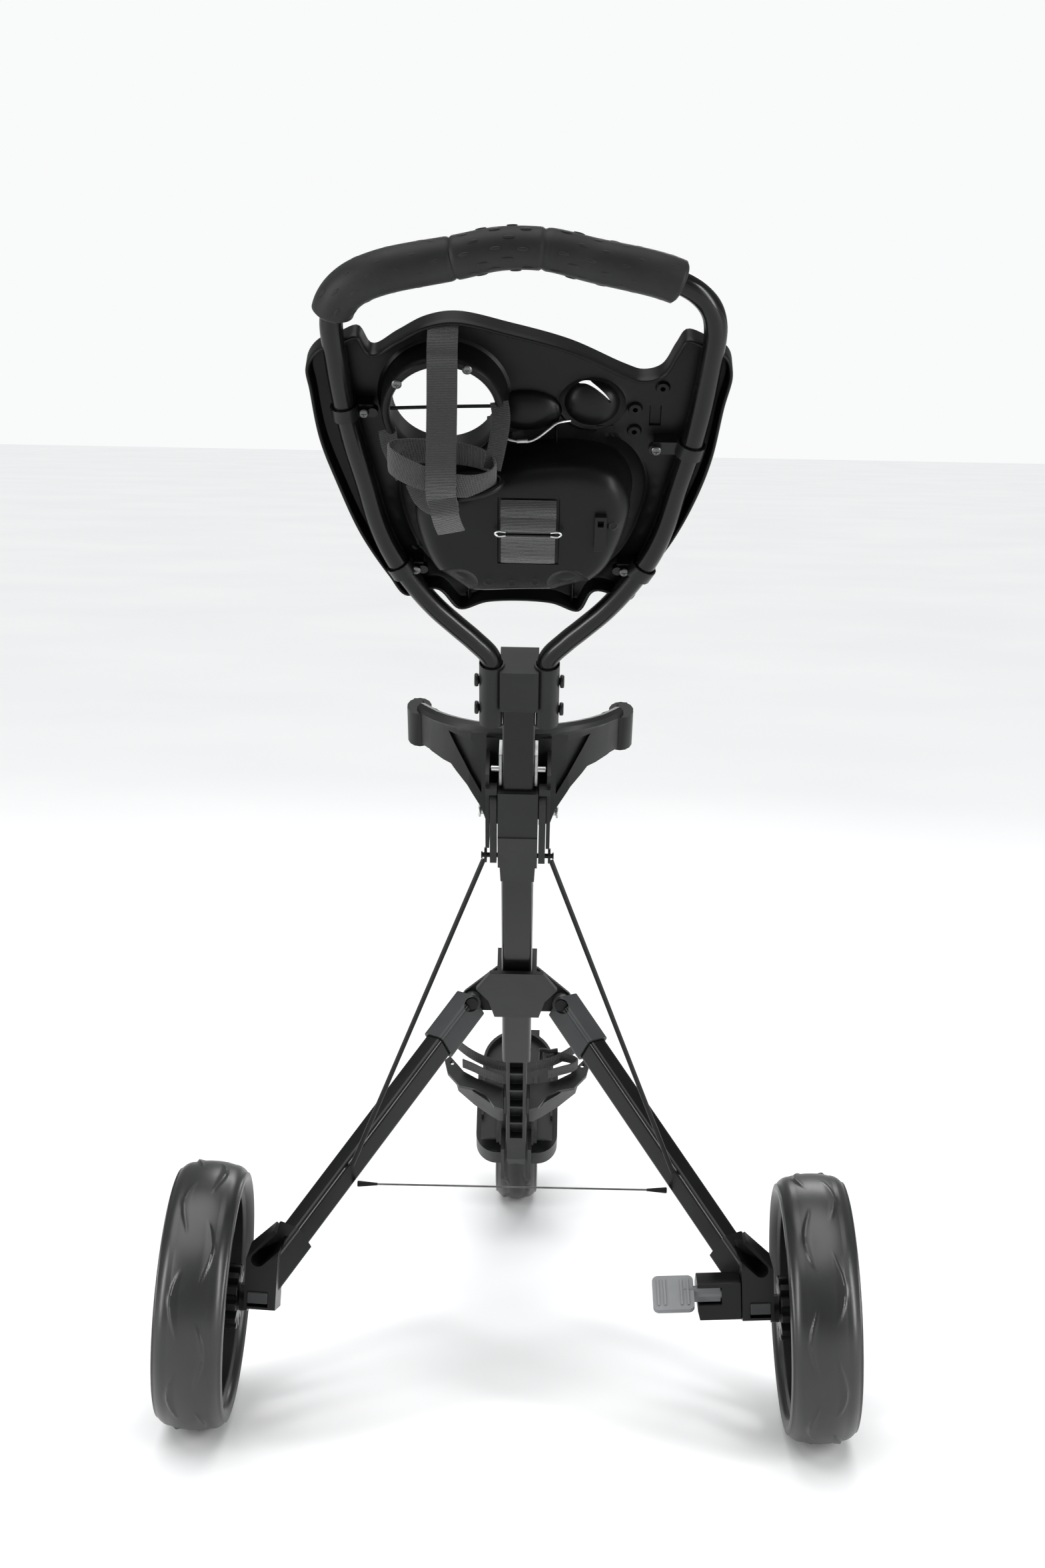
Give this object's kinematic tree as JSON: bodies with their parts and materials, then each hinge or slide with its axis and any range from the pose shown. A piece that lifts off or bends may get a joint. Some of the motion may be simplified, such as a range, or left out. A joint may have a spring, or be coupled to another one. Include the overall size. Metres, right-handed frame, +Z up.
{
  "type": "folding golf push cart",
  "caption": "Folding golf push cart with a padded handle loop, cup and bin console, bag cradles, swing-in rear legs, foot brake and front fork.",
  "frame": {"origin": "centre of the footprint, on the ground", "axes": "+Z up, +Y forward towards the front wheel, +X to the right seen from behind"},
  "size_m": [0.6942, 1.2184, 1.1643],
  "materials": {
    "black_tube": "gloss black powder coat",
    "frame_plastic": "satin charcoal, fine grain",
    "console_plastic": "satin charcoal",
    "grey_plastic": "satin mid grey",
    "zinc_steel": "zinc plated",
    "webbing": "woven webbing",
    "foam": "matt closed-cell foam",
    "tyre": "satin moulded tyre"
  },
  "bodies": {
    "frame": {"lower_tube": "black_tube", "boom": "frame_plastic", "boom_tongue": "grey_plastic", "knee_tail": "frame_plastic", "knee_casting": "frame_plastic", "hinge_pin": "zinc_steel", "lower_cradle": "frame_plastic", "lower_strap": "webbing", "bag_rest": "frame_plastic", "front_fork": "frame_plastic", "front_axle": "zinc_steel", "leg_hub": "frame_plastic", "spread_cable": "zinc_steel"},
    "upper_frame": {"upper_tube": "black_tube", "side_plate_left": "zinc_steel", "side_plate_right": "zinc_steel", "lock_pin": "zinc_steel", "handle_bracket": "frame_plastic", "bracket_bolt_lower": "frame_plastic", "bracket_bolt_upper": "frame_plastic", "handle_tube": "black_tube", "grip": "foam", "clamp_upper_left": "frame_plastic", "clamp_upper_right": "frame_plastic", "clamp_lower_left": "frame_plastic", "clamp_lower_right": "frame_plastic", "console": "console_plastic", "lid_pin": "zinc_steel", "cup_strap": "webbing", "cup_band": "webbing", "bin_patch": "webbing", "bin_latch": "frame_plastic", "upper_cradle": "frame_plastic"},
    "lid": {"console_lid": "console_plastic"},
    "yoke_slider": {"yoke": "frame_plastic"},
    "rod_left_body": {"rod_left": "black_tube"},
    "rod_right_body": {"rod_right": "black_tube"},
    "left_leg": {"leg_left": "black_tube", "leg_cap_left": "grey_plastic", "axle_bracket_left": "frame_plastic"},
    "right_leg": {"leg_right": "black_tube", "leg_cap_right": "grey_plastic", "axle_bracket_right": "frame_plastic", "brake_housing": "frame_plastic"},
    "left_button": {"release_button_left": "grey_plastic"},
    "right_button": {"release_button_right": "grey_plastic"},
    "pedal": {"brake_pedal": "grey_plastic"},
    "pin": {"brake_pin": "zinc_steel"},
    "left_wheel": {"tyre_left": "tyre", "rim_left": "frame_plastic", "brake_ring_left": "frame_plastic", "hub_cap_left": "grey_plastic"},
    "right_wheel": {"tyre_right": "tyre", "rim_right": "frame_plastic", "brake_ring_right": "frame_plastic", "hub_cap_right": "grey_plastic"},
    "front_wheel": {"tyre_front": "tyre", "rim_front": "frame_plastic"}
  },
  "joints": [
    {"name": "handle_fold", "type": "hinge", "parent": "frame", "child": "upper_frame", "pos_m": [0, -0.20417, 0.63069], "axis": [-1, 0, 0], "range_deg": [0, 130]},
    {"name": "lid_hinge", "type": "hinge", "parent": "upper_frame", "child": "lid", "pos_m": [0, -0.47472, 1.01045], "axis": [1, 0, 0], "range_deg": [0, 100]},
    {"name": "yoke_slide", "type": "slide", "parent": "frame", "child": "yoke_slider", "axis": [0, 0.7431, -0.6691], "range_m": [0, 0.02308]},
    {"name": "rod_right_swing", "type": "hinge", "parent": "yoke_slider", "child": "rod_right_body", "pos_m": [0.031, -0.22118, 0.59015], "axis": [-0.2142, 0.9695, 0.1191], "range_deg": [0, 14.94]},
    {"name": "rod_left_swing", "type": "hinge", "parent": "yoke_slider", "child": "rod_left_body", "pos_m": [-0.031, -0.22118, 0.59015], "axis": [-0.2142, -0.9695, -0.1191], "range_deg": [0, 14.94]},
    {"name": "leg_right_fold", "type": "hinge", "parent": "frame", "child": "right_leg", "pos_m": [0.048, 0.00972, 0.38602], "axis": [0, 1, 0], "range_deg": [0, 32.5], "deforming": ["spread_cable"]},
    {"name": "leg_left_fold", "type": "hinge", "parent": "frame", "child": "left_leg", "pos_m": [-0.048, 0.00972, 0.38602], "axis": [0, -1, 0], "range_deg": [0, 32.5]},
    {"name": "wheel_right_spin", "type": "hinge", "parent": "right_leg", "child": "right_wheel", "pos_m": [0.3065, -0.22028, 0.13502], "axis": [0.9986, 0, 0.0523], "continuous": true},
    {"name": "wheel_left_spin", "type": "hinge", "parent": "left_leg", "child": "left_wheel", "pos_m": [-0.3065, -0.22028, 0.13502], "axis": [0.9986, 0, -0.0523], "continuous": true},
    {"name": "wheel_front_spin", "type": "hinge", "parent": "frame", "child": "front_wheel", "pos_m": [0, 0.49972, 0.11002], "axis": [1, 0, 0], "continuous": true},
    {"name": "release_right_press", "type": "slide", "parent": "right_leg", "child": "right_button", "axis": [0, 1, 0], "range_m": [0, 0.004], "stiffness_N_per_m": 400, "springref_m": -0.002},
    {"name": "release_left_press", "type": "slide", "parent": "left_leg", "child": "left_button", "axis": [0, 1, 0], "range_m": [0, 0.004], "stiffness_N_per_m": 400, "springref_m": -0.002},
    {"name": "brake_pedal_press", "type": "hinge", "parent": "right_leg", "child": "pedal", "pos_m": [0.30527, -0.23628, 0.15848], "axis": [0.9986, 0, 0.0523], "range_deg": [0, 25]},
    {"name": "brake_pin_slide", "type": "slide", "parent": "right_leg", "child": "pin", "axis": [0.9986, 0, 0.0523], "range_m": [0, 0.009]}
  ],
  "couplings": [
    {"joint": "yoke_slide", "follows": "handle_fold", "m_per_rad": 0.010168},
    {"joint": "rod_right_swing", "follows": "handle_fold", "ratio": 0.11486},
    {"joint": "rod_left_swing", "follows": "handle_fold", "ratio": 0.11486},
    {"joint": "leg_right_fold", "follows": "handle_fold", "ratio": 0.25},
    {"joint": "leg_left_fold", "follows": "handle_fold", "ratio": 0.25},
    {"joint": "brake_pin_slide", "follows": "brake_pedal_press", "m_per_rad": 0.020625}
  ]
}
